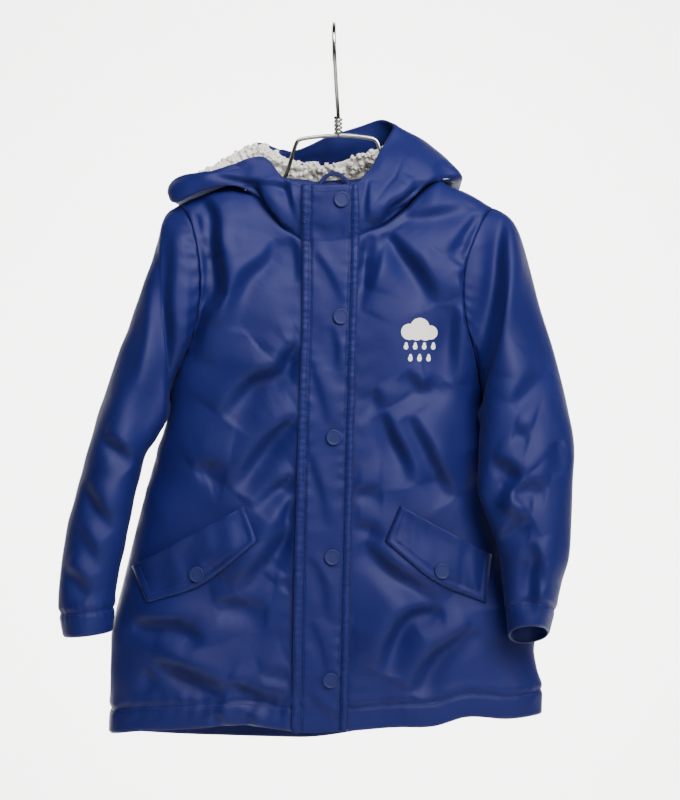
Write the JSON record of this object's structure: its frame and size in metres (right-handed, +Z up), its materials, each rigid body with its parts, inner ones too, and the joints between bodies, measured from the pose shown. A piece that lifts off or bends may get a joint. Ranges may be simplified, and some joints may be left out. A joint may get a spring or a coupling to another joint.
{
  "type": "kids raincoat on a hanger",
  "caption": "Hooded raincoat hanging on a wire hanger, with a snapped placket, slanted pocket flaps, open sleeves and a pile-lined hood falling behind.",
  "frame": {"origin": "inner top of the hanger's hook, where it rests on a rod that runs along X", "axes": "+Z up, the coat's front faces -Y, +X to the viewer's right; the hook opens along X over the rod"},
  "size_m": [0.4813, 0.1769, 0.6847],
  "materials": {
    "coat": "coated, soft sheen",
    "sherpa": "matte pile",
    "snap": "satin",
    "wire": "polished"
  },
  "bodies": {
    "root": {"front_right": "coat", "front_left": "coat", "back": "coat", "hem_front_right": "coat", "hem_front_left": "coat", "hem_back": "coat", "sleeve_right": "coat", "cuff_right": "coat", "sleeve_left": "coat", "cuff_left": "coat", "hood": "coat", "hood_lining": "sherpa", "hood_facing": "coat", "placket": "coat", "placket_welt_right": "coat", "placket_welt_left": "coat", "snap_placket_1": "snap", "snap_placket_2": "snap", "snap_placket_3": "snap", "snap_placket_4": "snap", "snap_placket_5": "snap", "pocket_flap_right": "coat", "snap_flap_right": "snap", "pocket_flap_left": "coat", "snap_flap_left": "snap", "hang_loop": "coat", "hanger": "wire"}
  },
  "joints": []
}
